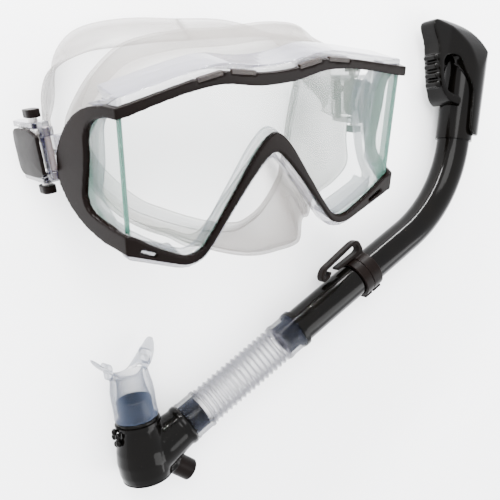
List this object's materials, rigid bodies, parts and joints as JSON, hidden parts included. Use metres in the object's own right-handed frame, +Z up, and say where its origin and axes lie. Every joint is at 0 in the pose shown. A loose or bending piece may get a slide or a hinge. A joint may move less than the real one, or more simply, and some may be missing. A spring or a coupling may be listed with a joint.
{
  "type": "snorkelling mask and dry snorkel set",
  "caption": "Three-pane dive mask with clear frame, soft skirt, strap and swivel buckles, lying beside a dry-top snorkel with flexible hose, chamber and mouthpiece.",
  "frame": {"origin": "centre of the bottom of the box round both things, on the table", "axes": "+Z up from the table, +X along the set to the dry top side, +Y from the mouthpiece side to the forehead side of the mask"},
  "size_m": [0.3358, 0.2698, 0.1036],
  "materials": {
    "clear_polycarbonate": "clear, glossy",
    "tempered_glass": "clear, polished",
    "clear_silicone": "frosted, translucent",
    "stainless_steel": "brushed",
    "grey_acetal": "satin",
    "float_foam": "matte",
    "satin_black_plastic": "satin",
    "gloss_black_plastic": "glossy"
  },
  "bodies": {
    "mask": {"frame_body": "clear_polycarbonate", "bezel": "satin_black_plastic", "front_lens": "tempered_glass", "side_lens_left": "tempered_glass", "side_lens_right": "tempered_glass", "skirt": "clear_silicone", "strap": "clear_silicone", "pivot_pin_left": "grey_acetal", "pivot_pin_right": "grey_acetal"},
    "swivel_left": {"buckle_left": "clear_polycarbonate", "buckle_cover_left": "satin_black_plastic", "button_springs_left": "stainless_steel"},
    "roller_left": {"strap_roller_left": "stainless_steel"},
    "upper_button_left_body": {"upper_button_left": "satin_black_plastic"},
    "lower_button_left_body": {"lower_button_left": "satin_black_plastic"},
    "swivel_right": {"buckle_right": "clear_polycarbonate", "buckle_cover_right": "satin_black_plastic", "button_springs_right": "stainless_steel"},
    "roller_right": {"strap_roller_right": "stainless_steel"},
    "upper_button_right_body": {"upper_button_right": "satin_black_plastic"},
    "lower_button_right_body": {"lower_button_right": "satin_black_plastic"},
    "snorkel": {"barrel": "gloss_black_plastic", "hose_flange": "gloss_black_plastic", "dry_top_housing": "gloss_black_plastic", "splash_hood": "gloss_black_plastic", "float_pin": "stainless_steel"},
    "keeper": {"keeper_ring": "satin_black_plastic"},
    "clip": {"keeper_clip": "satin_black_plastic"},
    "float": {"float_valve": "float_foam", "valve_seal": "clear_silicone"},
    "hose": {"upper_cuff": "clear_silicone", "flex_hose": "clear_silicone"},
    "lower": {"lower_cuff": "clear_silicone", "lower_chamber": "gloss_black_plastic", "chamber_cap": "gloss_black_plastic", "purge_outlet": "satin_black_plastic", "port_ring": "gloss_black_plastic"},
    "mouth": {"mouthpiece": "clear_silicone"},
    "purge": {"purge_valve": "clear_silicone"}
  },
  "joints": [
    {"name": "buckle_swivel_left", "type": "hinge", "parent": "mask", "child": "swivel_left", "pos_m": [-0.15731, 0.06921, 0.04285], "axis": [-0.0253, 0.9897, 0.1406], "range_deg": [-3, 25], "deforming": ["strap"]},
    {"name": "roller_turn_left", "type": "hinge", "parent": "swivel_left", "child": "roller_left", "pos_m": [-0.16065, 0.07304, 0.01532], "axis": [-0.0253, 0.9897, 0.1406], "continuous": true},
    {"name": "upper_press_left", "type": "slide", "parent": "swivel_left", "child": "upper_button_left_body", "axis": [0.0253, -0.9897, -0.1406], "range_m": [0, 0.0016], "stiffness_N_per_m": 900, "springref_m": -0.002, "deforming": ["button_springs_left"]},
    {"name": "lower_press_left", "type": "slide", "parent": "swivel_left", "child": "lower_button_left_body", "axis": [-0.0253, 0.9897, 0.1406], "range_m": [0, 0.0016], "stiffness_N_per_m": 900, "springref_m": -0.002, "deforming": ["button_springs_left"]},
    {"name": "buckle_swivel_right", "type": "hinge", "parent": "mask", "child": "swivel_right", "pos_m": [0.03451, 0.06921, 0.04285], "axis": [-0.0253, -0.9897, -0.1406], "range_deg": [-3, 25], "deforming": ["strap"]},
    {"name": "roller_turn_right", "type": "hinge", "parent": "swivel_right", "child": "roller_right", "pos_m": [0.03784, 0.07304, 0.01532], "axis": [0.0253, 0.9897, 0.1406], "continuous": true},
    {"name": "upper_press_right", "type": "slide", "parent": "swivel_right", "child": "upper_button_right_body", "axis": [-0.0253, -0.9897, -0.1406], "range_m": [0, 0.0016], "stiffness_N_per_m": 900, "springref_m": -0.002, "deforming": ["button_springs_right"]},
    {"name": "lower_press_right", "type": "slide", "parent": "swivel_right", "child": "lower_button_right_body", "axis": [0.0253, 0.9897, 0.1406], "range_m": [0, 0.0016], "stiffness_N_per_m": 900, "springref_m": -0.002, "deforming": ["button_springs_right"]},
    {"name": "snorkel_lift", "type": "slide", "parent": "mask", "child": "snorkel", "axis": [0, 0, 1], "range_m": [0, 0.15]},
    {"name": "keeper_slide", "type": "slide", "parent": "snorkel", "child": "keeper", "axis": [0.9348, 0.3551, 0], "range_m": [-0.026, 0.03]},
    {"name": "keeper_turn", "type": "hinge", "parent": "keeper", "child": "clip", "pos_m": [0.03682, -0.04604, 0.0165], "axis": [0.9348, 0.3551, 0], "range_deg": [-25, 25]},
    {"name": "float_slide", "type": "slide", "parent": "snorkel", "child": "float", "axis": [0.3123, 0.95, 0], "range_m": [0, 0.007]},
    {"name": "hose_swivel", "type": "hinge", "parent": "snorkel", "child": "hose", "pos_m": [-0.02908, -0.07107, 0.0165], "axis": [0.9348, 0.3551, 0], "range_deg": [-60, 60]},
    {"name": "flex_bend", "type": "hinge", "parent": "hose", "child": "lower", "pos_m": [-0.06507, -0.08475, 0.0165], "axis": [0, 0, 1], "range_deg": [-25, 35], "deforming": ["flex_hose"]},
    {"name": "mouthpiece_swivel", "type": "hinge", "parent": "lower", "child": "mouth", "pos_m": [-0.13592, -0.07992, 0.0165], "axis": [0.0209, 0.9998, 0], "range_deg": [-40, 40]},
    {"name": "purge_lift", "type": "slide", "parent": "lower", "child": "purge", "axis": [0.7046, -0.7096, 0], "range_m": [0, 0.0014]}
  ]
}
